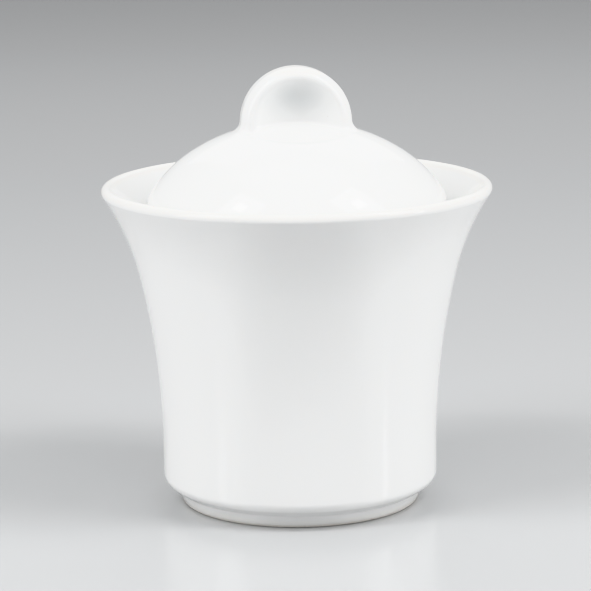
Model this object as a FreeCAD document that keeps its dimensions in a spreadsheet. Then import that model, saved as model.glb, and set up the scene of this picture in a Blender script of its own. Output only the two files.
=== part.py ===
"""Porcelain sugar bowl with a lift-off lid: two glazed pieces, the bowl and its lid.

Millimetres, +Z up. The origin is the centre of the foot ring, on the surface the bowl stands on.
Both pieces are turned shapes about Z. The lid's half-round finger knob stands along X, so its two
scooped faces look along -Y (front) and +Y (back).
"""

import FreeCAD, Part
import math
import os
import re
import Sketcher

from FreeCAD import Vector

DOCUMENT = FreeCAD.newDocument("sugar_bowl")

# ---------------------------------------------------------------------------------------------
# Driving dimensions. Angles are in degrees, everything else is in millimetres.
# ---------------------------------------------------------------------------------------------

SIZES = {
    # foot ring: the bare ring that the bowl stands on, and the recess inside it
    "foot_inner": 27.6,
    "foot_outer": 30.5,
    "foot_draft": 0.4,
    "foot_notch_radius": 31.8,
    "foot_notch_height": 3.3,
    "recess_height": 3.7,
    # body: a straight lower wall that opens into a flare, as two tangent arcs
    "body_radius": 35.4,
    "body_corner_height": 5.7,
    "straight_top": 14.8,
    "waist_curve": 194.0,
    "waist_turn": 13.4,
    "flare_curve": 65.8,
    "flare_turn": 19.6,
    "lip_round": 1.4,
    # inside of the bowl
    "wall": 3.0,
    "floor_height": 7.6,
    "mouth_curve": 56.0,
    "ledge_height": 70.3,
    "ledge_underside": 66.8,
    "ledge_root": 60.0,
    "throat_radius": 35.2,
    # lid: a crown, a rounder shoulder and a small round at its widest line
    "lid_seat": 70.35,
    "lid_top": 98.3,
    "crown_curve": 50.4,
    "crown_turn": 33.5,
    "shoulder_curve": 32.7,
    "shoulder_turn": 23.1,
    "brim_curve": 6.0,
    "brim_turn": 41.4,
    "lid_wall": 3.2,
    "hollow_turn": 18.5,
    "hollow_corner": 5.0,
    "hollow_corner_turn": 54.7,
    # locating ring under the lid, loose enough in the throat for an easy fit
    "ring_outer": 33.8,
    "ring_bottom": 66.0,
    # knob: a half disc on edge with a spoon-shaped scoop in each face
    "knob_axis": 98.1,
    "knob_radius": 14.1,
    "knob_thickness": 11.0,
    "knob_lip": 2.4,
    "knob_web": 2.8,
    "knob_sweep": 200.0,
    # the shallow dished landing in the crown, which the knob stands in
    "dish_half_width": 14.3,
    "dish_half_depth": 17.7,
    "dish_sink": 0.35,
    "dish_turn": 21.7,
    # softened edges
    "bearing_round": 0.9,
    "foot_round": 1.0,
    "body_corner_round": 3.1,
    "floor_round": 7.0,
    "ledge_round": 0.8,
    "ledge_corner_round": 1.2,
    "ring_round": 0.8,
    "seat_round": 0.7,
}


def make_sheet():
    """The spreadsheet that holds the driving dimensions, one alias for each."""
    sheet = DOCUMENT.addObject("Spreadsheet::Sheet", "sizes")
    for row, (alias, size) in enumerate(SIZES.items(), start=1):
        sheet.set("A%d" % row, alias)
        sheet.set("B%d" % row, str(size))
        sheet.setAlias("B%d" % row, alias)
    DOCUMENT.recompute()
    return sheet


SHEET = make_sheet()


def in_sheet(formula):
    """The same formula with every alias written as a reference to the sheet."""
    return re.sub(r"\b[a-z]+_\w+|\bwall\b", r"sizes.\g<0>", formula)


def value(formula):
    """What a formula on the sheet's aliases comes to now, as a plain number."""
    result = SHEET.evalExpression(in_sheet(formula))
    return float(getattr(result, "Value", result))


def bind(thing, name, formula):
    """Bind one property of a feature to the sheet."""
    thing.setExpression(name, in_sheet(formula))


# ---------------------------------------------------------------------------------------------
# Sketches
# ---------------------------------------------------------------------------------------------

START, END, CENTRE = 1, 2, 3
ORIGIN = (-1, 1)
UPRIGHT_AXIS = -2
LEFT, RIGHT = 1, -1


def new_sketch(body, plane, name):
    """A sketch on one of the body's own origin planes."""
    sketch = body.newObject("Sketcher::SketchObject", name)
    face = next(item for item in body.Origin.OriginFeatures if item.Role == plane)
    sketch.AttachmentSupport = [(face, "")]
    sketch.MapMode = "FlatFace"
    return sketch


def pointing(degrees):
    """A unit vector at an angle from the sketch's horizontal."""
    return Vector(math.cos(math.radians(degrees)), math.sin(math.radians(degrees)), 0)


class Outline:
    """Draws an outline edge after edge and binds each size to the sheet.

    It keeps the point where the next edge starts and the heading there, in degrees from the
    sketch's horizontal. A bend or a slope goes on smoothly from the edge before it.
    """

    def __init__(self, sketch, across, up):
        self.sketch = sketch
        self.start = (across, up)
        self.here = Vector(value(across), value(up), 0)
        self.heading = 0.0
        self.head = None
        self.tail = None

    def rule(self, *arguments):
        """Add a constraint and give its number."""
        return self.sketch.addConstraint(Sketcher.Constraint(*arguments))

    def measure(self, formula, *arguments):
        """Add a constraint with a size, bound to the sheet."""
        number = self.rule(*arguments, value(formula))
        bind(self.sketch, "Constraints[%d]" % number, formula)

    def pin(self, edge, vertex, across=None, up=None):
        """Hold a vertex at a distance from the axis, at a height, or both."""
        if across == "0":
            self.rule("PointOnObject", edge, vertex, UPRIGHT_AXIS)
        elif across:
            self.measure(across, "DistanceX", *ORIGIN, edge, vertex)
        if up:
            self.measure(up, "DistanceY", *ORIGIN, edge, vertex)

    def add(self, shape, first, last, joint):
        """Add an edge that runs from its vertex `first` to its vertex `last`."""
        edge = self.sketch.addGeometry(shape, False)
        if self.tail is None:
            self.head = (edge, first)
            self.pin(edge, first, *self.start)
        else:
            self.rule(joint, *self.tail, edge, first)
        self.tail = (edge, last)
        return edge

    def line(self, across, up):
        """A straight edge to a given point."""
        goal = Vector(value(across), value(up), 0)
        step = goal - self.here
        edge = self.add(Part.LineSegment(self.here, goal), START, END, "Coincident")
        self.pin(edge, END, across, up)
        self.heading = math.degrees(math.atan2(step.y, step.x))
        self.here = goal

    def slope(self, up):
        """A straight edge that goes on smoothly until it reaches a height."""
        ahead = pointing(self.heading)
        goal = self.here + ahead * ((value(up) - self.here.y) / ahead.y)
        edge = self.add(Part.LineSegment(self.here, goal), START, END, "Tangent")
        self.pin(edge, END, up=up)
        self.here = goal

    def arc(self, radius, side, sweep, joint="Tangent"):
        """An arc from here that turns to one side, not yet sized. Returns the edge's number."""
        away = self.heading + 90 * side
        centre = self.here + pointing(away) * radius
        begin = away + 180
        finish = begin + side * sweep
        low, high = sorted((math.radians(begin), math.radians(finish)))
        ends = (START, END) if side == LEFT else (END, START)
        circle = Part.Circle(centre, Vector(0, 0, 1), radius)
        edge = self.add(Part.ArcOfCircle(circle, low, high), *ends, joint)
        self.here = centre + pointing(finish) * radius
        self.heading += side * sweep
        return edge

    def bend(self, radius, side, turn, joint="Tangent"):
        """A smooth arc of a given radius that turns by a given angle."""
        edge = self.arc(value(radius), side, value(turn), joint)
        if edge == self.head[0]:
            self.rule("PointOnObject", edge, CENTRE, UPRIGHT_AXIS)
        self.measure(radius, "Radius", edge)
        swept = self.rule("Angle", edge, math.radians(value(turn)))
        bind(self.sketch, "Constraints[%d]" % swept, "(%s) * 1 deg" % turn)
        return edge

    def dive(self, radius, up):
        """A smooth arc that turns left, on its way down, until it reaches a height."""
        centre = self.here + pointing(self.heading + 90) * value(radius)
        finish = 180 + math.degrees(math.asin((centre.y - value(up)) / value(radius)))
        edge = self.arc(value(radius), LEFT, finish - (self.heading + 270) % 360)
        self.measure(radius, "Radius", edge)
        self.pin(edge, END, up=up)

    def shadow(self, outer, top, across):
        """A straight edge to an arc that follows an outer arc inside, then that arc down its foot."""
        centre = self.sketch.getPoint(outer, CENTRE)
        radius = centre.x - value(across)
        begin = 180 - math.degrees(math.asin((value(top) - centre.y) / radius))
        self.add(Part.LineSegment(self.here, centre + pointing(begin) * radius), START, END, "Coincident")
        circle = Part.Circle(centre, Vector(0, 0, 1), radius)
        low = math.radians(begin)
        edge = self.add(Part.ArcOfCircle(circle, low, math.pi), START, END, "Coincident")
        self.rule("Coincident", edge, CENTRE, outer, CENTRE)
        self.rule("Horizontal", edge, CENTRE, edge, END)
        self.pin(edge, START, up=top)
        self.pin(edge, END, across=across)
        self.here = centre + pointing(180) * radius

    def close(self):
        """Join the last point to the first one by a straight edge."""
        first = self.sketch.getPoint(*self.head)
        edge = self.sketch.addGeometry(Part.LineSegment(self.here, first), False)
        self.rule("Coincident", *self.tail, edge, START)
        self.rule("Coincident", edge, END, *self.head)

    def meet(self, other):
        """Close two outlines that both start on the axis: join their ends and their starts."""
        for mine, theirs in ((self.tail, other.tail), (self.head, other.head)):
            ends = [self.sketch.getPoint(*vertex) for vertex in (mine, theirs)]
            edge = self.sketch.addGeometry(Part.LineSegment(*ends), False)
            self.rule("Coincident", edge, START, *mine)
            self.rule("Coincident", edge, END, *theirs)


# ---------------------------------------------------------------------------------------------
# Features
# ---------------------------------------------------------------------------------------------

def new_body(name):
    """An empty body whose label names its file."""
    body = DOCUMENT.addObject("PartDesign::Body", name)
    body.Label = name
    return body


def revolve(body, sketch, name, axis="V_Axis", sweep="360"):
    """Turn a section about one of its sketch's axes, evenly to both sides of the sketch."""
    turned = body.newObject("PartDesign::Revolution", name)
    turned.Profile = (sketch, [""])
    turned.ReferenceAxis = (sketch, [axis])
    turned.Midplane = True
    bind(turned, "Angle", sweep)
    DOCUMENT.recompute()
    return turned


def ring_edges(shape, spots, reach=0.05):
    """Names of the circular edges about Z that lie at the given radii and heights."""
    found = []
    for number, edge in enumerate(shape.Edges, start=1):
        if edge.Degenerated or not isinstance(edge.Curve, Part.Circle):
            continue
        for radius, height in spots:
            level = abs(edge.Curve.Center.z - value(height)) < reach
            if level and abs(edge.Curve.Radius - value(radius)) < reach:
                found.append("Edge%d" % number)
    return found


def soften(body, radius, spots):
    """Round the circular edges at the given radii and heights."""
    base = body.Tip
    edges = ring_edges(base.Shape, spots)
    if not edges:
        raise SystemExit("no edge to round for " + radius)
    fillet = body.newObject("PartDesign::Fillet", "%s_%s" % (body.Name, radius))
    fillet.Base = (base, edges)
    bind(fillet, "Radius", radius)
    DOCUMENT.recompute()
    return fillet


# ---------------------------------------------------------------------------------------------
# Bowl
# ---------------------------------------------------------------------------------------------

def make_bowl():
    """The bowl: foot ring, straight lower wall, flare, rounded lip, and the ledge inside."""
    body = new_body("bowl")
    inner_radius = "body_radius - wall"
    recess_radius = "foot_inner - foot_draft"

    sketch = new_sketch(body, "XZ_Plane", "bowl_section")
    outline = Outline(sketch, "0", "recess_height")
    outline.line(recess_radius, "recess_height")
    outline.line("foot_inner", "0.0")
    outline.line("foot_outer", "0.0")
    outline.line("foot_notch_radius", "foot_notch_height")
    outline.line("body_radius", "body_corner_height")
    outline.line("body_radius", "straight_top")
    waist = outline.bend("waist_curve", RIGHT, "waist_turn")
    outline.bend("flare_curve", RIGHT, "flare_turn")
    outline.bend("lip_round", LEFT, "180")
    outline.dive("mouth_curve", "ledge_height")
    mouth_radius = str(outline.here.x)
    outline.line("throat_radius", "ledge_height")
    outline.line("throat_radius", "ledge_underside")
    outline.shadow(waist, "ledge_root", inner_radius)
    outline.line(inner_radius, "floor_height")
    outline.line("0", "floor_height")
    outline.close()
    revolve(body, sketch, "bowl_turned")

    soften(body, "bearing_round", [("foot_inner", "0"), ("foot_outer", "0")])
    soften(body, "foot_round", [(recess_radius, "recess_height"),
                                ("foot_notch_radius", "foot_notch_height")])
    soften(body, "body_corner_round", [("body_radius", "body_corner_height")])
    soften(body, "floor_round", [(inner_radius, "floor_height")])
    soften(body, "ledge_round", [("throat_radius", "ledge_height"),
                                 ("throat_radius", "ledge_underside")])
    soften(body, "ledge_corner_round", [(mouth_radius, "ledge_height")])
    return body


# ---------------------------------------------------------------------------------------------
# Lid
# ---------------------------------------------------------------------------------------------

def lid_shell(body):
    """The domed lid with its seat and its locating ring, turned about Z."""
    sketch = new_sketch(body, "XZ_Plane", "lid_section")
    outside = Outline(sketch, "0", "lid_top")
    outside.bend("crown_curve", RIGHT, "crown_turn")
    outside.bend("shoulder_curve", RIGHT, "shoulder_turn")
    outside.bend("brim_curve", RIGHT, "brim_turn")
    outside.slope("lid_seat")
    seat_radius = str(outside.here.x)
    outside.line("ring_outer", "lid_seat")
    outside.line("ring_outer", "ring_bottom")

    hollow = Outline(sketch, "0", "lid_top - lid_wall")
    hollow.bend("crown_curve - lid_wall", RIGHT, "crown_turn")
    hollow.bend("shoulder_curve - lid_wall", RIGHT, "hollow_turn")
    hollow.bend("hollow_corner", RIGHT, "hollow_corner_turn")
    hollow.slope("ring_bottom")
    ring_inner = str(hollow.here.x)
    outside.meet(hollow)
    revolve(body, sketch, "lid_turned")

    soften(body, "seat_round", [(seat_radius, "lid_seat")])
    soften(body, "ring_round", [("ring_outer", "ring_bottom"), (ring_inner, "ring_bottom")])


def lid_dish(body):
    """The shallow oval landing in the crown: cut through, then closed again a little lower."""
    oval = new_sketch(body, "XY_Plane", "dish_oval")
    long_end = Vector(0, value("dish_half_depth"), 0)
    side_end = Vector(value("dish_half_width"), 0, 0)
    ring = oval.addGeometry(Part.Ellipse(long_end, side_end, Vector(0, 0, 0)), False)
    oval.exposeInternalGeometry(ring)
    oval.addConstraint(Sketcher.Constraint("Coincident", ring, CENTRE, *ORIGIN))
    long_axis, short_axis = ring + 1, ring + 2
    oval.addConstraint(Sketcher.Constraint("Vertical", long_axis))
    for axis, half in ((long_axis, "dish_half_depth"), (short_axis, "dish_half_width")):
        length = Sketcher.Constraint("Distance", axis, 2 * value(half))
        number = oval.addConstraint(length)
        bind(oval, "Constraints[%d]" % number, "2 * " + half)
    cut = body.newObject("PartDesign::Pocket", "dish_cut")
    cut.Profile = (oval, [""])
    cut.Type = "ThroughAll"
    cut.Reversed = True
    before = body.Tip.BaseFeature.Shape.Volume
    DOCUMENT.recompute()
    if cut.Shape.Volume > before - 1:
        raise SystemExit("the dish cut nothing out of the crown")

    sketch = new_sketch(body, "XZ_Plane", "dish_section")
    landing = Outline(sketch, "0", "lid_top - dish_sink")
    landing.bend("crown_curve - dish_sink", RIGHT, "dish_turn")
    under = Outline(sketch, "0", "lid_top - lid_wall")
    under.bend("crown_curve - lid_wall", RIGHT, "dish_turn")
    landing.meet(under)
    revolve(body, sketch, "dish_landing")


def lid_knob(body):
    """The knob: a half disc on edge, hollowed like a spoon on both faces, its lip left thick."""
    half_web = "knob_web / 2"
    half_rim = "knob_thickness / 2 - knob_lip"
    scoop_turn = "2 * atan((knob_thickness - knob_web) / 2 / (knob_radius - knob_lip)) / 1 deg"
    scoop_curve = "(knob_radius - knob_lip) / sin((%s) * 1 deg) - knob_lip" % scoop_turn
    lip_turn = "90 + " + scoop_turn

    sketch = new_sketch(body, "YZ_Plane", "knob_section")
    bind(sketch, ".AttachmentOffset.Base.y", "knob_axis")
    outline = Outline(sketch, "-" + half_web, "0.0")
    outline.line(half_web, "0.0")
    outline.heading = 90
    face = outline.bend(scoop_curve, RIGHT, scoop_turn, "Coincident")
    outline.rule("Horizontal", face, CENTRE, face, END)
    outline.bend("knob_lip", LEFT, lip_turn)
    outline.line("-(%s)" % half_rim, "knob_radius")
    outline.bend("knob_lip", LEFT, lip_turn)
    outline.arc(value(scoop_curve), RIGHT, value(scoop_turn))
    outline.rule("Coincident", *outline.tail, *outline.head)
    revolve(body, sketch, "knob_disc", "H_Axis", "knob_sweep")


def make_lid():
    """The lid: shell, landing and knob, one fired piece."""
    body = new_body("lid")
    lid_shell(body)
    lid_dish(body)
    lid_knob(body)
    return body


# ---------------------------------------------------------------------------------------------
# Build, check and write
# ---------------------------------------------------------------------------------------------

def check(pieces):
    """Stop if any object failed to compute or any piece isn't one sound solid."""
    for thing in DOCUMENT.Objects:
        if "Invalid" in thing.State or "Error" in thing.State:
            raise SystemExit("%s did not compute: %s" % (thing.Name, thing.State))
    for piece in pieces:
        shape = piece.Shape
        if shape.isNull() or not shape.isValid() or len(shape.Solids) != 1:
            raise SystemExit("%s is not one valid solid" % piece.Label)


def main():
    pieces = [make_bowl(), make_lid()]
    DOCUMENT.recompute()
    check(pieces)
    os.makedirs("parts", exist_ok=True)
    for piece in pieces:
        box = piece.Shape.optimalBoundingBox()
        print("%s: volume %.0f mm3, z %.2f to %.2f, width %.2f"
              % (piece.Label, piece.Shape.Volume, box.ZMin, box.ZMax, box.XLength))
        piece.Shape.exportStep("parts/%s.step" % piece.Label)


main()
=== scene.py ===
# %% [markdown]
# # A porcelain sugar bowl with a lift-off lid
#
# The real object is two pieces of white porcelain: a flared bowl on a foot ring, and a domed lid with
# a half-round finger knob. Each is shaped in clay, fired, dipped in clear glaze and fired again.
#
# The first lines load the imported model, which fixes where everything is. Nothing below moves it:
# the two pieces made here take the place of its two solids, at the same size and in the same spot.

# %% Load the frame
import math

import bmesh
import bpy
import numpy as np
from mathutils import Euler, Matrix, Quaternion, Vector


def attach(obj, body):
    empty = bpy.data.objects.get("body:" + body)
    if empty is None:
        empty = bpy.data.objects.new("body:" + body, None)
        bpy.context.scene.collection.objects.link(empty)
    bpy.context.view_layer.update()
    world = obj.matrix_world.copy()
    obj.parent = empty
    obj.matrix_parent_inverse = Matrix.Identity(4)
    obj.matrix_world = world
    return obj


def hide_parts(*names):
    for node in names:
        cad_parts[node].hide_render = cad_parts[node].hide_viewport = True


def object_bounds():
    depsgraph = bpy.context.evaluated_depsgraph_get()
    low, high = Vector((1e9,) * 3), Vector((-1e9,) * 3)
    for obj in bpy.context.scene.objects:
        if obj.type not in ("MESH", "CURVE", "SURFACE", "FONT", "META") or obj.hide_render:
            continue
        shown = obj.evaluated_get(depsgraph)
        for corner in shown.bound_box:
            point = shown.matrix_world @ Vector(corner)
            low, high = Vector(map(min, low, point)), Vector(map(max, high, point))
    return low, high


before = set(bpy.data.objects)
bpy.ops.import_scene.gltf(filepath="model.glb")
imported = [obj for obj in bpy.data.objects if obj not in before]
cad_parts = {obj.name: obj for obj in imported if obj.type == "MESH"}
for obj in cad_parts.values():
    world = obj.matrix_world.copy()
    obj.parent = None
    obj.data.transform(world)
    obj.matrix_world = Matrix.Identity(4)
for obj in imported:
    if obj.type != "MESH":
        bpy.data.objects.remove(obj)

MM = 0.001  # the sizes below are in millimetres, and Blender's scene is in metres
cad_low, cad_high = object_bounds()
print("CAD box:", [round(v / MM, 2) for v in (*cad_low, *cad_high)], "mm")

# %% [markdown]
# ## Drawing a section
#
# A turned piece is fully described by half of its section: the outline that a potter's template
# cuts. It could be typed in as a table of points, but a table hides the design. Here the outline is
# walked instead, like driving a car: go straight for so long, or bend left or right with a given
# radius. Every bend starts in the direction that the last stretch ended in, so the surface is smooth
# and its reflections run on without a kink.
#
# In edit mode a straight stretch is an extrude of the last vertex, and a bend is a spin of it about
# the bend's centre.

# %% A walker that draws with extrude and spin
STRIDE = 1.5 * MM       # longest step along a straight stretch or a wide bend
FINE_STEP = 0.5 * MM    # longest step along a tight bend
TIGHT = 10.0            # a bend of a smaller radius than this is a tight one
FINE_TURN = 7.0         # largest turn of one step in any bend, in degrees


def only(piece):
    """Select one object and nothing else, and make it the active one."""
    bpy.ops.object.select_all(action="DESELECT")
    piece.select_set(True)
    bpy.context.view_layer.objects.active = piece


def pointing(degrees):
    """A unit vector in the XZ plane, at an angle above the X axis."""
    return Vector((math.cos(math.radians(degrees)), 0, math.sin(math.radians(degrees))))


class Section:
    """Half of a turned piece's section in the XZ plane, walked edge after edge."""

    def __init__(self, name, across, up, heading):
        self.here = Vector((across * MM, 0, up * MM))
        self.heading = heading

        # A tiny plane merged into one vertex is the pen that draws the section.
        bpy.ops.object.select_all(action="DESELECT")
        bpy.ops.mesh.primitive_plane_add(size=MM, location=self.here)
        bpy.ops.object.transform_apply(location=True)
        self.piece = bpy.context.object
        self.piece.name = name
        bpy.ops.object.mode_set(mode="EDIT")
        bpy.ops.mesh.select_mode(type="VERT")
        bpy.ops.mesh.select_all(action="SELECT")
        bpy.ops.mesh.merge(type="CENTER")

    def ahead(self, length):
        """Go straight on, in short steps."""
        steps = max(1, math.ceil(length * MM / STRIDE))
        for _ in range(steps):
            step = pointing(self.heading) * (length * MM / steps)
            bpy.ops.mesh.extrude_region_move(TRANSFORM_OT_translate={"value": step})
            self.here += step

    def bend(self, radius, turn):
        """Bend with a radius, by an angle that is positive to the left and negative to the right."""
        side = math.copysign(90, turn)
        centre = self.here + pointing(self.heading + side) * radius * MM
        length = radius * MM * math.radians(abs(turn))
        step = FINE_STEP if radius < TIGHT else STRIDE
        steps = math.ceil(max(length / step, abs(turn) / FINE_TURN))
        bpy.ops.mesh.spin(steps=steps, angle=math.radians(abs(turn)), center=centre,
                          axis=(0, math.copysign(1, turn), 0))
        self.here = centre - pointing(self.heading + side + turn) * radius * MM
        self.heading += turn

    def corners(self, stops):
        """Go to a row of corner points, each given as (across, up, round), and round each corner.

        A rounded corner starts early by round x tan(half the turn), which is where an arc of that
        radius leaves the straight line. The last point is where the walk stops.
        """
        points = [self.here] + [Vector((across * MM, 0, up * MM)) for across, up, _ in stops]
        headings = []
        for start, goal in zip(points, points[1:]):
            step = goal - start
            headings.append(math.degrees(math.atan2(step.z, step.x)))
        self.heading = headings[0]
        for number, (_, _, rounding) in enumerate(stops):
            last = number == len(stops) - 1
            turn = 0 if last else (headings[number + 1] - headings[number] + 180) % 360 - 180
            early = rounding * math.tan(math.radians(abs(turn) / 2))
            self.heading = headings[number]
            self.ahead((points[number + 1] - self.here).length / MM - early)
            if turn:
                self.bend(rounding, turn)

    def turn_on_lathe(self, steps):
        """Spin the finished section about Z into a closed body, and close its poles and its seam."""
        bpy.ops.mesh.select_all(action="SELECT")
        bpy.ops.mesh.spin(steps=steps, angle=math.radians(360), center=(0, 0, 0), axis=(0, 0, 1))
        bpy.ops.mesh.select_all(action="SELECT")
        bpy.ops.mesh.remove_doubles(threshold=0.01 * MM)
        bpy.ops.mesh.normals_make_consistent(inside=False)
        bpy.ops.object.mode_set(mode="OBJECT")
        bpy.ops.object.shade_smooth()
        return self.piece


def size_up(piece):
    """Print how large a piece is and how many faces it has."""
    low = [min(v.co[axis] for v in piece.data.vertices) / MM for axis in range(3)]
    high = [max(v.co[axis] for v in piece.data.vertices) / MM for axis in range(3)]
    print(piece.name, "from", [round(v, 2) for v in low], "to", [round(v, 2) for v in high],
          "mm, faces:", len(piece.data.polygons))


# %% [markdown]
# ## The bowl
#
# The bowl is one fired piece. Its wall is straight low down and opens into a flare through two
# bends, the upper one tighter. The lip is a plain half round, and the inside follows the outside at
# about 3 mm. A ledge inside the mouth carries the lid. Underneath, a notch sets the body off from
# the foot ring.
#
# A cylinder scaled row by row would get near this form, but each ring would have to be placed by eye.
# A section that is walked and turned gives true arcs, so the lip and the flare reflect evenly.

# %% Walk the bowl's section
WALL = 3.0
FOOT_INNER, FOOT_OUTER = 27.6, 30.4             # the bearing face of the foot ring
NOTCH_RADIUS, NOTCH_HEIGHT = 31.7, 3.3
BODY_RADIUS = 35.4
STRAIGHT_TOP = 14.8
FLOOR = 7.6
RECESS = 3.7
LEDGE = 70.3
THROAT = 35.2
WAIST_CURVE, WAIST_TURN = 194.0, 13.4   # the lower bend of the flare
FLARE_CURVE, FLARE_TURN = 65.8, 19.6    # and the upper one
LIP_ROUND = 1.4
MOUTH_CURVE = 56.0      # the inside of the mouth, from the lip down to the ledge

section = Section("bowl_porcelain", 0, RECESS, 0)
section.corners((
    (FOOT_INNER - 0.4, RECESS, 1.0),        # recess under the floor, with a little draft
    (FOOT_INNER, 0, 0.9),
    (FOOT_OUTER, 0, 0.9),
    (NOTCH_RADIUS, NOTCH_HEIGHT, 1.0),      # notch between foot and body
    (BODY_RADIUS, 5.7, 3.1),                # lower corner of the body
    (BODY_RADIUS, STRAIGHT_TOP, 0),
))
section.bend(WAIST_CURVE, -WAIST_TURN)
section.bend(FLARE_CURVE, -FLARE_TURN)
section.bend(LIP_ROUND, 180)

# The ledge's outer corner is an arc that touches both the mouth's bend and the flat ledge.
LEDGE_ROUND = 1.2
mouth_centre = section.here + pointing(section.heading + 90) * MOUTH_CURVE * MM
rise = math.degrees(math.asin((LEDGE + LEDGE_ROUND - mouth_centre.z / MM)
                              / (MOUTH_CURVE + LEDGE_ROUND)))
section.bend(MOUTH_CURVE, 270 - rise - section.heading)
section.bend(LEDGE_ROUND, 180 - section.heading)

# Below the ledge the inside runs concentric with the waist, one wall thickness further in.
INNER_CURVE = WAIST_CURVE + WALL
LEDGE_BOTTOM = 66.8
LEDGE_ROOT = 60.0       # where the slope under the ledge meets the wall
ROOT_ROUND = 2.5
lean = math.degrees(math.asin((LEDGE_ROOT - STRAIGHT_TOP) / INNER_CURVE))
root = BODY_RADIUS + WAIST_CURVE - INNER_CURVE * math.cos(math.radians(lean))
past_root = pointing(270 - lean) * (ROOT_ROUND + 0.5)   # room for the rounded corner
section.corners((
    (THROAT, LEDGE, 0.8),
    (THROAT, LEDGE_BOTTOM, 0.8),
    (root, LEDGE_ROOT, ROOT_ROUND),
    (root + past_root.x, LEDGE_ROOT + past_root.z, 0),
))
lean = math.degrees(math.asin((section.here.z / MM - STRAIGHT_TOP) / INNER_CURVE))
section.heading = 270 - lean
section.bend(INNER_CURVE, lean)
section.corners((
    (BODY_RADIUS - WALL, FLOOR, 7.0),
    (0, FLOOR, 0),
))
BOWL_STEPS = 256        # points round the bowl
bowl = section.turn_on_lathe(BOWL_STEPS)
size_up(bowl)

# %% [markdown]
# ## The lid
#
# The lid is a low dome on a locating ring, with a knob that grows out of the crown in one skin. The
# turned part is walked like the bowl, from the edge of the crown outwards, round the brim and the
# seat, down and up the ring, and back along the hollow to the axis. It is left open at the crown,
# because the knob isn't round: that part is made as a patch of its own and welded in.

# %% Walk the lid's section
LID_TOP = 98.3
LID_WALL = 3.2
SEAT = 70.35
RING_BOTTOM = 66.0
RING_OUTER = 33.8
CROWN_CURVE, CROWN_TURN = 50.4, 33.5
SHOULDER_CURVE, SHOULDER_TURN = 32.7, 23.1
BRIM_CURVE, BRIM_TURN = 6.0, 41.4
CROWN_CENTRE = LID_TOP - CROWN_CURVE
PATCH_RADIUS = 21.0     # where the turned part ends and the knob's patch begins
LID_STEPS = 384         # points round the lid, the same in both parts

start_angle = math.degrees(math.asin(PATCH_RADIUS / CROWN_CURVE))
section = Section("lid_porcelain", PATCH_RADIUS,
                  CROWN_CENTRE + CROWN_CURVE * math.cos(math.radians(start_angle)), -start_angle)
section.bend(CROWN_CURVE, start_angle - CROWN_TURN)
section.bend(SHOULDER_CURVE, -SHOULDER_TURN)
section.bend(BRIM_CURVE, -BRIM_TURN)
down_to_seat = (section.here.z - SEAT * MM) / math.sin(math.radians(-section.heading))
slope_end = section.here + pointing(section.heading) * down_to_seat

# The hollow's own walk, worked out first to know where the ring's inner face starts.
hollow_bends = ((CROWN_CURVE - LID_WALL, CROWN_TURN), (SHOULDER_CURVE - LID_WALL, 18.5), (5.0, 54.7))
spot = Vector((0, 0, LID_TOP - LID_WALL))
facing = 0.0
for curve, turn in hollow_bends:
    centre = spot + pointing(facing - 90) * curve
    facing -= turn
    spot = centre + pointing(facing + 90) * curve
ring_inner = spot.x - (spot.z - RING_BOTTOM) / math.tan(math.radians(facing))
section.corners((
    (slope_end.x / MM, SEAT, 0.7),
    (RING_OUTER, SEAT, 0.4),
    (RING_OUTER, RING_BOTTOM, 0.8),
    (ring_inner, RING_BOTTOM, 0.8),
    (spot.x, spot.z, 0),
))
section.heading = facing + 180
for curve, turn in reversed(hollow_bends):
    section.bend(curve, turn)
print("the hollow ends at", [round(v / MM, 3) for v in section.here], "mm")
lid = section.turn_on_lathe(LID_STEPS)
size_up(lid)

# %% [markdown]
# ## The knob and the crown
#
# The knob is a half disc on edge, scooped on both faces so that thumb and finger find a grip, and it
# runs into the crown with a soft fillet. A boolean of a disc, two balls and a dome would give sharp
# creases and uneven faces, which a glossy glaze shows up. So the patch is made in two steps:
#
# 1. A block-out: a flat grid with a strip in its middle extruded up, and the block's sides
#    divided into rows. It has the right faces in the right order, and no shape yet.
# 2. Its points are bent into a rough dome and disc, and then settled on the true form.
#
# The true form is a formula for how far a point is from the glazed surface. Its parts are a ball for
# the dome, a rounded disc and two balls that scoop it out, and they are blended softly where they
# meet, just as clay is wiped round with a wet finger.

# %% Block out the patch
SIDE = LID_STEPS // 4   # faces along each side of the grid
HALF_STRIP, HALF_WEB = 30, 10   # half the knob's strip, in faces along X and along Y
LEVELS = 32             # rows of faces up the knob
RELAX_ROUNDS = 400      # how often the flat part is smoothed

bpy.ops.object.select_all(action="DESELECT")
bpy.ops.mesh.primitive_grid_add(x_subdivisions=SIDE, y_subdivisions=SIDE, size=2)
patch = bpy.context.object
patch.name = "crown_patch"
strip_x, strip_y = 2 * HALF_STRIP / SIDE, 2 * HALF_WEB / SIDE

bpy.ops.object.mode_set(mode="EDIT")
bpy.ops.mesh.select_mode(type="FACE")
bpy.ops.mesh.select_all(action="DESELECT")
cage = bmesh.from_edit_mesh(patch.data)
for face in cage.faces:
    middle = face.calc_center_median()
    face.select = abs(middle.x) < strip_x and abs(middle.y) < strip_y
bmesh.update_edit_mesh(patch.data)
bpy.ops.mesh.extrude_region_move(TRANSFORM_OT_translate={"value": (0, 0, 1)})
bpy.ops.mesh.select_mode(type="EDGE")
bpy.ops.mesh.select_all(action="DESELECT")
cage = bmesh.from_edit_mesh(patch.data)
for edge in cage.edges:
    edge.select = abs(edge.verts[0].co.z - edge.verts[1].co.z) > 0.5
bmesh.update_edit_mesh(patch.data)
bpy.ops.mesh.subdivide(number_cuts=LEVELS - 1)
bpy.ops.object.mode_set(mode="OBJECT")
size_up(patch)

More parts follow.
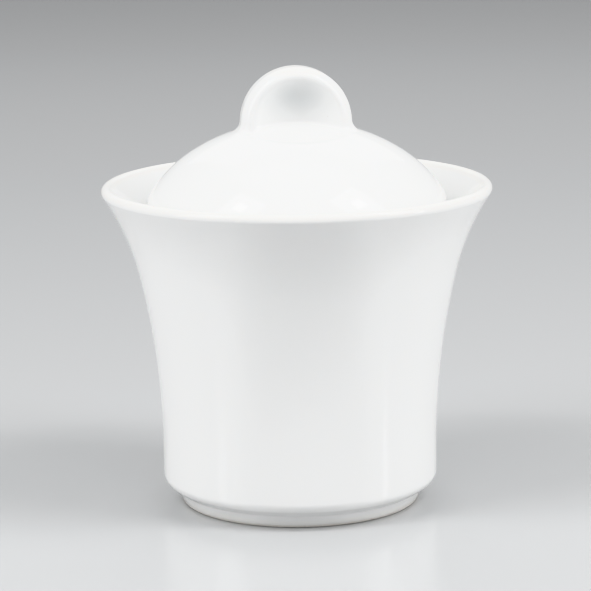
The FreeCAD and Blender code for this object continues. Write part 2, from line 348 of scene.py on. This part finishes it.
# %% [markdown]
# The form is written with numpy, for all points at once, in millimetres. Each shape gives a distance
# that is negative inside. `soft_union` and `soft_cut` are a minimum and a maximum whose corner is
# rounded over a given width.

# %% The true form of knob and crown
KNOB_AXIS = 98.1        # height of the disc's centre
KNOB_RADIUS = 14.1
KNOB_THICK = 11.0
KNOB_EDGE = 3.8         # rounding of the disc's rim
KNOB_WEB = 2.8          # what the scoops leave between them
SCOOP_CURVE = 18.5
SCOOP_RISE = 0.5        # the scoops are deepest this far above the disc's centre
LIP_BLEND = 0.8
ROOT_BLEND = (1.0, 2.8)  # fillet between knob and crown: in the scoops, and at the knob's ends
ROOT_ENDS = (12.2, 14.6)  # over which distance from the axis it changes from one to the other
DISH = (14.3, 17.7)     # half width and half depth of the landing in the crown
DISH_SINK = 0.42
DISH_EDGE = 0.09        # share of the oval over which the landing's edge falls away


def smooth_step(low, high, amount):
    """0 below low, 1 above high, and a soft ramp between."""
    part = np.clip((amount - low) / (high - low), 0, 1)
    return part * part * (3 - 2 * part)


def soft_union(a, b, width):
    """The smaller of two distances, with the corner between them filled in."""
    overlap = np.maximum(width - np.abs(a - b), 0) / width
    return np.minimum(a, b) - overlap * overlap * width / 4


def soft_cut(a, b, width):
    """What is left of shape a when b is cut out of it, with the edge rounded off."""
    return -soft_union(-a, b, width)


def ball(points, centre, radius):
    """Distance to a ball."""
    return np.linalg.norm(points - np.array(centre), axis=1) - radius


def disc(points):
    """Distance to the knob's disc, which stands in the XZ plane with a rounded rim."""
    out = np.hypot(points[:, 0], points[:, 2] - KNOB_AXIS) - (KNOB_RADIUS - KNOB_EDGE)
    aside = np.abs(points[:, 1]) - (KNOB_THICK / 2 - KNOB_EDGE)
    outside = np.hypot(np.maximum(out, 0), np.maximum(aside, 0))
    return outside + np.minimum(np.maximum(out, aside), 0) - KNOB_EDGE


def crown(points):
    """Distance to the crown of the lid, with its oval landing sunk a little."""
    oval = np.hypot(points[:, 0] / DISH[0], points[:, 1] / DISH[1])
    sink = DISH_SINK * (1 - smooth_step(1 - DISH_EDGE, 1 + DISH_EDGE / 2, oval))
    return ball(points, (0, 0, CROWN_CENTRE), CROWN_CURVE) + sink


def form(points):
    """Distance to the finished surface of knob and crown."""
    knob = disc(points)
    for side in (-1, 1):
        centre = (0, side * (KNOB_WEB / 2 + SCOOP_CURVE), KNOB_AXIS + SCOOP_RISE)
        knob = soft_cut(knob, ball(points, centre, SCOOP_CURVE), LIP_BLEND)
    endwards = smooth_step(*ROOT_ENDS, np.abs(points[:, 0]))
    return soft_union(crown(points), knob, ROOT_BLEND[0] * (1 - endwards) + ROOT_BLEND[1] * endwards)


def settle(points, rounds=12):
    """Move points along the slope of the distance until they lie on the surface.

    Where the slope is nearly flat a step would overshoot, so no step is longer than about 1 mm.
    """
    small = 0.01    # the slope is measured from this far on either side
    for _ in range(rounds):
        away = form(points)
        slope = np.stack([(form(points + step) - form(points - step)) / (2 * small)
                          for step in np.eye(3) * small], axis=1)
        steep = np.maximum((slope * slope).sum(axis=1), 0.05)
        points = points - slope * np.clip(away / steep, -1.0, 1.0)[:, None]
    return points


# %% [markdown]
# A square grid is fitted to a round patch by turning its nested squares into nested circles. The
# same trick bends the block's front and back, each a half square, into half discs. Before settling,
# the flat part is relaxed with Blender's smooth tool so that no face is squeezed beside the knob.

# %% Bend the block-out into a rough dome and disc
def squares_to_circles(u, v):
    """Turn nested squares of half size 1 into nested circles of radius 1."""
    radius = np.maximum(np.abs(u), np.abs(v))
    with np.errstate(divide="ignore", invalid="ignore"):
        sideways = np.where(u >= 0, 0, np.pi) + np.pi / 4 * np.nan_to_num(v / u)
        upwards = np.where(v >= 0, np.pi / 2, -np.pi / 2) - np.pi / 4 * np.nan_to_num(u / v)
    angle = np.where(np.abs(u) >= np.abs(v), sideways, upwards)
    return radius * np.cos(angle), radius * np.sin(angle)


def crown_height(across, along):
    """Height of the plain crown over a point in plan."""
    return CROWN_CENTRE + np.sqrt(CROWN_CURVE ** 2 - across ** 2 - along ** 2)


def half_thickness(across, up):
    """Half the knob's thickness where its faces are scooped."""
    reach = across ** 2 + (up - KNOB_AXIS - SCOOP_RISE) ** 2
    scooped = KNOB_WEB / 2 + SCOOP_CURVE - np.sqrt(np.maximum(SCOOP_CURVE ** 2 - reach, 1))
    return np.minimum(scooped, KNOB_THICK / 2)


HAIR = 1e-4             # slack for comparing places on the block
block = np.array([vertex.co for vertex in patch.data.vertices])
u, v, w = block.T       # across, along and up the block
shaped = np.zeros_like(block)
on_strip = (np.abs(u) < strip_x + HAIR) & (np.abs(v) < strip_y + HAIR)
along_x, along_y = u / strip_x, v / strip_y

flat_x, flat_y = squares_to_circles(u, v)
shaped[:, 0], shaped[:, 1] = flat_x * PATCH_RADIUS, flat_y * PATCH_RADIUS
shaped[:, 2] = crown_height(shaped[:, 0], shaped[:, 1])

face_x, face_z = squares_to_circles(along_x, w)
knob_x = face_x * KNOB_RADIUS
knob_up = face_z * KNOB_RADIUS + KNOB_AXIS
foot = crown_height(knob_x, 0 * knob_x)
knob_z = knob_up + (foot - KNOB_AXIS) * (1 - w) ** 2
rim = (np.abs(along_x) > 1 - HAIR) | (w > 1 - HAIR)
knob_y = np.where(rim, along_y * KNOB_THICK / 2, np.sign(along_y) * half_thickness(knob_x, knob_z))
shaped[on_strip] = np.stack([knob_x, knob_y, knob_z], axis=1)[on_strip]
patch.data.vertices.foreach_set("co", (shaped * MM).ravel())
patch.data.update()

only(patch)
bpy.ops.object.mode_set(mode="EDIT")
bpy.ops.mesh.select_mode(type="VERT")
bpy.ops.mesh.select_all(action="DESELECT")
cage = bmesh.from_edit_mesh(patch.data)
cage.verts.ensure_lookup_table()
edge = np.maximum(np.abs(u), np.abs(v)) > 1 - HAIR
for number in np.flatnonzero(~edge & ~on_strip):
    cage.verts[number].select = True
bmesh.update_edit_mesh(patch.data)
bpy.ops.mesh.vertices_smooth(factor=0.5, repeat=RELAX_ROUNDS)
bpy.ops.object.mode_set(mode="OBJECT")

# %% Settle it on the true form, and weld it into the lid
points = np.array([vertex.co for vertex in patch.data.vertices]) / MM
settled = settle(points)
settled[edge] = points[edge]
print("largest error left:", round(float(np.abs(form(settled)[~edge]).max()), 4), "mm")
patch.data.vertices.foreach_set("co", (settled * MM).ravel())
patch.data.update()

bpy.ops.object.select_all(action="DESELECT")
patch.select_set(True)
lid.select_set(True)
bpy.context.view_layer.objects.active = lid
bpy.ops.object.join()
bpy.ops.object.mode_set(mode="EDIT")
bpy.ops.mesh.select_all(action="SELECT")
bpy.ops.mesh.remove_doubles(threshold=0.02 * MM)
bpy.ops.mesh.normals_make_consistent(inside=False)
bpy.ops.object.mode_set(mode="OBJECT")
bpy.ops.object.shade_smooth()
size_up(lid)

check = bmesh.new()
for piece in (bowl, lid):
    check.clear()
    check.from_mesh(piece.data)
    open_edges = sum(not edge.is_manifold for edge in check.edges)
    print(piece.name, "open edges:", open_edges, "volume:",
          round(check.calc_volume() / MM ** 3), "mm3")
check.free()

# %% [markdown]
# ## Riding on the frame
#
# Each piece takes the place of its imported solid and moves with the same body.

# %% Tie the pieces to the bodies
for piece, node in ((bowl, "bowl"), (lid, "lid")):
    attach(piece, node)
    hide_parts(node)

# %% [markdown]
# ## The glazed porcelain
#
# Porcelain is a white, dense body under a clear glassy glaze. Up close it is never a flat white:
#
# - the glaze lies on it in very slight waves, which bend the reflections a little
# - where it gathers, in inner corners, it looks cooler and a shade darker, and that tint is also
#   painted shade in those corners; the knob's scoops are painted a darker grey, as shade
# - where it runs thin, on the lip and other tight edges, the warmer body shows through
# - a few tiny specks and pinholes are left by the firing
# - the bearing face of the foot, the ledge, the lid's seat and the end of its ring are wiped bare,
#   because glaze would fuse them to the kiln shelf or to each other, so there the body is matt and
#   slightly creamy.
#
# A painted map would have to be drawn by hand and would blur close up. Here all of it is worked out
# from the piece's own Object coordinates, so it is sharp at any distance. A small class wraps a socket
# so that the maths can be written as plain expressions.

# %% A wrapper for shader sockets
class Signal:
    """A socket that is being worked with: numbers and other signals combine with it by operators."""

    def __init__(self, tree, socket):
        self.tree = tree
        self.socket = socket

    def node(self, kind, settings=(), inputs=(), output=0):
        """Add a node, make its settings, then give its sockets values or links."""
        made = self.tree.nodes.new(kind)
        for name, setting in dict(settings).items():
            setattr(made, name, setting)
        for name, given in dict(inputs).items():
            if isinstance(given, Signal):
                self.tree.links.new(given.socket, made.inputs[name])
            else:
                made.inputs[name].default_value = given
        return Signal(self.tree, made.outputs[output])

    def math(self, operation, *values):
        """A Math node on the given values."""
        return self.node("ShaderNodeMath", {"operation": operation}, dict(enumerate(values)))

    def __add__(self, other):
        return self.math("ADD", self, other)

    def __radd__(self, other):
        return self.math("ADD", other, self)

    def __sub__(self, other):
        return self.math("SUBTRACT", self, other)

    def __rsub__(self, other):
        return self.math("SUBTRACT", other, self)

    def __mul__(self, other):
        return self.math("MULTIPLY", self, other)

    def __rmul__(self, other):
        return self.math("MULTIPLY", other, self)

    def ramp(self, low, high, start=0.0, end=1.0):
        """A soft ramp from start to end as this goes from low to high."""
        return self.node("ShaderNodeMapRange", {"interpolation_type": "SMOOTHSTEP"},
                         {"Value": self, "From Min": low, "From Max": high,
                          "To Min": start, "To Max": end})

    def band(self, low, high, fade):
        """1 between low and high, with soft ends."""
        return self.ramp(low - fade, low) * self.ramp(high, high + fade, 1.0, 0.0)

    def tint(self, colour, other):
        """Mix colour towards other by this much. The colour sockets of a Mix node are 6, 7 and 2."""
        return self.node("ShaderNodeMix", {"data_type": "RGBA"}, {0: self, 6: colour, 7: other}, output=2)


def noise(place, scale, detail=2.0):
    """Fractal noise at a point, with `scale` waves to the metre."""
    return place.node("ShaderNodeTexNoise", inputs={"Vector": place, "Scale": scale, "Detail": detail})


# %% [markdown]
# The same recipe serves both pieces. What differs is where each one is bare, where its glaze gathers
# or thins and where shade is painted, so those are given as bands of height and of distance from the
# axis, and the painted shade in the knob's scoops as spots.

# %% The finish's colours and sizes
WHITE = (0.81, 0.81, 0.803, 1.0)
CLOUDY = (0.79, 0.795, 0.793, 1.0)
POOLED_GLAZE_AND_SHADE = (0.69, 0.71, 0.72, 1.0)            # thick glaze, cooler, and painted shade in inner corners
SCOOP_SHADE = (0.60, 0.613, 0.617, 1.0)        # painted shade, a darker grey in the knob's scoops
THIN = (0.82, 0.805, 0.775, 1.0)            # thin glaze, the warmer body shows
BARE = (0.72, 0.695, 0.655, 1.0)            # fired clay with no glaze
GRAIN = (0.60, 0.56, 0.51, 1.0)             # the darker grains in it
SPECK = (0.33, 0.29, 0.25, 1.0)

# Heights in mm, each with its number of waves or cells to the metre.
WAVE_HEIGHT, WAVE_COUNT = 0.018, 95
PEEL_HEIGHT, PEEL_COUNT = 0.0016, 650
GRAIN_HEIGHT, GRAIN_COUNT = 0.03, 2600
GLAZE_COAT = 0.04                           # bare clay lies lower by the glaze's thickness
PINHOLE_DEPTH, CELL_COUNT = 0.03, 260
WAVER, WAVER_COUNT = 0.5, 160               # how far the edge of a wiped place wanders

# %% The recipe
def porcelain(name, bare_bands, pooled_and_shaded_bands, thin_bands, scoop_shades=()):
    """Glazed porcelain. Each band is (from radius, to radius, from height, to height), in mm.

    Each entry is painted shade: a darker grey patch on both faces of the knob, given as (distance
    from the XZ plane, height, reach), in mm.
    """
    material = bpy.data.materials.new(name)
    material.use_nodes = True
    tree = material.node_tree
    tree.nodes.clear()
    root = Signal(tree, None)
    place = root.node("ShaderNodeTexCoord", output="Object")
    axes = root.node("ShaderNodeSeparateXYZ", inputs={"Vector": place}).socket.node
    x, y, z = (Signal(tree, socket) for socket in axes.outputs)
    radius = root.math("SQRT", x * x + y * y)

    def zones(bands, fade, waver):
        """1 inside any of the bands, with an edge that wavers like a wiped or dipped line."""
        total = None
        for near, far, low, high in bands:
            across = (radius + waver).band(near * MM, far * MM, fade * MM)
            zone = across * (z + waver).band(low * MM, high * MM, fade * MM)
            total = zone if total is None else root.math("MAXIMUM", total, zone)
        return total

    waver = (noise(place, WAVER_COUNT) - 0.5) * (WAVER * MM)
    bare = zones(bare_bands, 0.12, waver)
    pooled_and_shaded = zones(pooled_and_shaded_bands, 1.1, waver * 2)
    thin = zones(thin_bands, 0.7, waver)
    glazed = 1 - bare

    # Specks and pinholes: a few small cells picked out of many, each only near its own centre.
    cell = root.node("ShaderNodeTexVoronoi", inputs={"Vector": place, "Scale": CELL_COUNT})
    cell_colour = Signal(tree, cell.socket.node.outputs["Color"])
    pick = root.node("ShaderNodeSeparateColor", inputs={"Color": cell_colour})
    chosen = pick.ramp(0.992, 0.996)
    speck = cell.ramp(0.03, 0.07, 1.0, 0.0) * chosen
    pinhole = cell.ramp(0.03, 0.09, 1.0, 0.0) * pick.ramp(0.955, 0.960) * (1 - chosen)

    # Colour: a faint cloudiness, then pooled glaze and painted shade, thin and bare places, then grain
    # and specks.
    colour = (noise(place, 42, 3.0) * 0.5).tint(WHITE, CLOUDY)
    # Pooled glaze and painted shade: a cooler, darker tint in the inner corners.
    colour = (pooled_and_shaded * 0.55).tint(colour, POOLED_GLAZE_AND_SHADE)
    # Painted shade: each of the knob's scoops is tinted a darker grey, strongest in its middle.
    for off, height, reach in scoop_shades:
        aside = root.math("ABSOLUTE", y) - off * MM
        rise = z - height * MM
        away = root.math("SQRT", x * x * 0.6 + aside * aside + rise * rise * 1.6)
        colour = away.ramp(0.0, reach * MM, 1.0, 0.0).tint(colour, SCOOP_SHADE)
    colour = (thin * 0.5).tint(colour, THIN)
    colour = bare.tint(colour, BARE)
    grain = noise(place, GRAIN_COUNT)
    colour = (bare * grain.ramp(0.45, 0.75) * 0.35).tint(colour, GRAIN)
    colour = (speck * 0.3).tint(colour, SPECK)

    # Gloss: the glaze is nearly a mirror, a touch softer where it is thin, and the clay is matt.
    gloss = 0.06 + noise(place, 90) * 0.05 + thin * 0.05
    rough = glazed * gloss + bare * (0.55 + grain * 0.2)

    # Relief: slow waves and fine orange peel in the glaze, pinholes, and grain in the bare clay.
    waves = noise(place, WAVE_COUNT, 1.0) * (WAVE_HEIGHT * MM)
    peel = noise(place, PEEL_COUNT) * (PEEL_HEIGHT * MM)
    clay = (grain * GRAIN_HEIGHT - GLAZE_COAT) * MM
    relief = glazed * (waves + peel) - pinhole * (PINHOLE_DEPTH * MM) + bare * clay
    normal = root.node("ShaderNodeBump", inputs={"Strength": 1.0, "Distance": 1.0, "Height": relief})

    shader = root.node("ShaderNodeBsdfPrincipled", inputs={
        "Base Color": colour, "Roughness": rough, "Normal": normal, "IOR": 1.52,
        "Subsurface Weight": 0.12, "Subsurface Radius": (1.0, 0.9, 0.8),
        "Subsurface Scale": 1.5 * MM})
    output = tree.nodes.new("ShaderNodeOutputMaterial")
    tree.links.new(shader.socket, output.inputs["Surface"])
    return material


# %% Glaze the bowl and the lid
bowl.data.materials.clear()
bowl.data.materials.append(porcelain(
    "bowl_glaze",
    bare_bands=(
        (FOOT_INNER - 0.6, FOOT_OUTER + 0.8, -1.0, 0.7),            # bearing face
        (THROAT - 0.6, THROAT + 2.2, LEDGE - 0.8, LEDGE + 0.5),     # ledge, where the lid sits
    ),
    # Pooled glaze and painted shade in the inner corners.
    pooled_and_shaded_bands=(
        (24.0, FOOT_INNER, 3.0, 4.6),                               # corner of the recess
        (24.0, 32.4, FLOOR - 0.2, FLOOR + 4.4),                     # corner of the floor
        (38.6, 42.2, LEDGE - 0.6, LEDGE + 2.0),                     # outer corner of the ledge, painted shade of the gap beside the lid
    ),
    thin_bands=(
        (46.4, 50.4, 81.5, 83.0),                                   # lip
        (FOOT_OUTER - 0.4, FOOT_OUTER + 1.0, 0.4, 1.6),             # outer edge of the foot
    ),
))
lid.data.materials.clear()
lid.data.materials.append(porcelain(
    "lid_glaze",
    bare_bands=(
        (RING_OUTER + 0.2, 37.4, SEAT - 1.0, SEAT + 0.6),           # seat
        (30.0, RING_OUTER + 0.4, RING_BOTTOM - 1.0, RING_BOTTOM + 0.7),     # end of the ring
    ),
    pooled_and_shaded_bands=((33.0, 35.2, SEAT - 0.8, SEAT + 0.4),),           # corner between ring and seat, pooled glaze and painted shade
    thin_bands=((0.0, 15.0, 110.6, 113.0),),                        # top of the knob
    # painted shade in the knob's scoops
    scoop_shades=((KNOB_WEB / 2, 105.0, 10.5),),
))
for piece in (bowl, lid):
    print(piece.name, "is glazed with", piece.data.materials[0].name, "of",
          len(piece.data.materials[0].node_tree.nodes), "nodes")

# %% [markdown]
# ## The studio
#
# White porcelain is lit with large soft lights, because its glaze mirrors them. The bowl
# stands on a wide pale floor with a satin sheen. Two tall softboxes stand high on either side, a big
# one hangs overhead and a weak one fills in from behind. Two low strips draw the upright glints on
# the body, and two small lamps add to the light from either side.

# %% The floor
FLOOR_REACH = 20.0      # metres, so that its edge lies far off even for a low camera
bpy.ops.object.select_all(action="DESELECT")
bpy.ops.mesh.primitive_plane_add(size=2 * FLOOR_REACH)
floor = bpy.context.object
floor.name = "studio_floor"

paper = bpy.data.materials.new("studio_paper")
paper.use_nodes = True
shade = paper.node_tree.nodes["Principled BSDF"]
shade.inputs["Base Color"].default_value = (0.46, 0.465, 0.47, 1.0)
shade.inputs["Roughness"].default_value = 0.22
floor.data.materials.append(paper)
print("floor:", 2 * FLOOR_REACH, "m square")

# %% The lights
LIGHTS = (
    # name, azimuth and elevation in degrees, distance, width and height in metres, power in watts
    ("left_box", -67, 37, 1.0, 0.42, 1.0, 7.5),
    ("right_box", 60, 39, 1.0, 0.42, 1.0, 8.1),
    ("left_strip", -74, 8, 0.9, 0.14, 0.26, 0.6),
    ("right_strip", 67, 8, 0.9, 0.06, 0.20, 1.0),
    ("back_box", 173, 40, 1.1, 1.0, 0.7, 2.4),
    ("left_lamp", -69, 53, 1.0, 0.12, 0.12, 1.1),
    ("right_lamp", 62, 53, 1.0, 0.12, 0.12, 1.1),
    ("top_box", -7, 80, 1.0, 1.0, 1.0, 2.6),
)


def softbox(name, azimuth, elevation, distance, width, height, power, aim):
    """A rectangular soft light, aimed at a point, placed by its direction from there."""
    lamp = bpy.data.lights.new(name, "AREA")
    lamp.shape = "RECTANGLE"
    lamp.size = width
    lamp.size_y = height
    lamp.energy = power
    holder = bpy.data.objects.new(name, lamp)
    bpy.context.scene.collection.objects.link(holder)
    turn, rise = math.radians(azimuth), math.radians(elevation)
    away = Vector((math.sin(turn) * math.cos(rise), -math.cos(turn) * math.cos(rise), math.sin(rise)))
    holder.location = aim + away * distance
    holder.rotation_euler = away.to_track_quat("Z", "Y").to_euler()


middle = (cad_low + cad_high) / 2
for light in LIGHTS:
    softbox(*light, middle)

world = bpy.data.worlds.new("studio_air")
bpy.context.scene.world = world
world.use_nodes = True
air = world.node_tree.nodes["Background"]
air.inputs["Color"].default_value = (0.98, 0.99, 1.0, 1.0)
air.inputs["Strength"].default_value = 0.47
print("lights:", ", ".join(light[0] for light in LIGHTS))

# %% [markdown]
# The camera stands well back with a long lens, a little above the rim, so that the bowl's sides show
# their true slope. The view transform keeps near-whites apart, which is where all of a white glaze's
# tones are.

# %% The camera
CAMERA_BACK = 0.680     # metres from the bowl's axis
CAMERA_UP = 0.1924      # metres above the floor
CAMERA_TURN = -7.0      # degrees round the bowl
CAMERA_DIP = 11.58      # degrees down from level
CAMERA_ROLL = 0.75      # degrees
SIDE_STEP = 0.00066     # metres to the left
LENS = 164.6            # millimetres, on a sensor 36 mm wide
camera_data = bpy.data.cameras.new("camera")
camera_data.lens = LENS
camera_data.sensor_width = 36.0
camera_data.clip_start = 0.05
camera = bpy.data.objects.new("camera", camera_data)
bpy.context.scene.collection.objects.link(camera)
turn = math.radians(CAMERA_TURN)
aside = Vector((math.cos(turn), math.sin(turn), 0))
camera.location = Vector((math.sin(turn), -math.cos(turn), 0)) * CAMERA_BACK
camera.location += Vector((0, 0, CAMERA_UP)) - aside * SIDE_STEP
dip = Euler((math.radians(90 - CAMERA_DIP), 0, turn)).to_quaternion()
camera.rotation_mode = "QUATERNION"
camera.rotation_quaternion = dip @ Quaternion((0, 0, 1), math.radians(-CAMERA_ROLL))
bpy.context.scene.camera = camera
bpy.context.scene.view_settings.view_transform = "Khronos PBR Neutral"
print("camera at", [round(v, 3) for v in camera.location], "m")
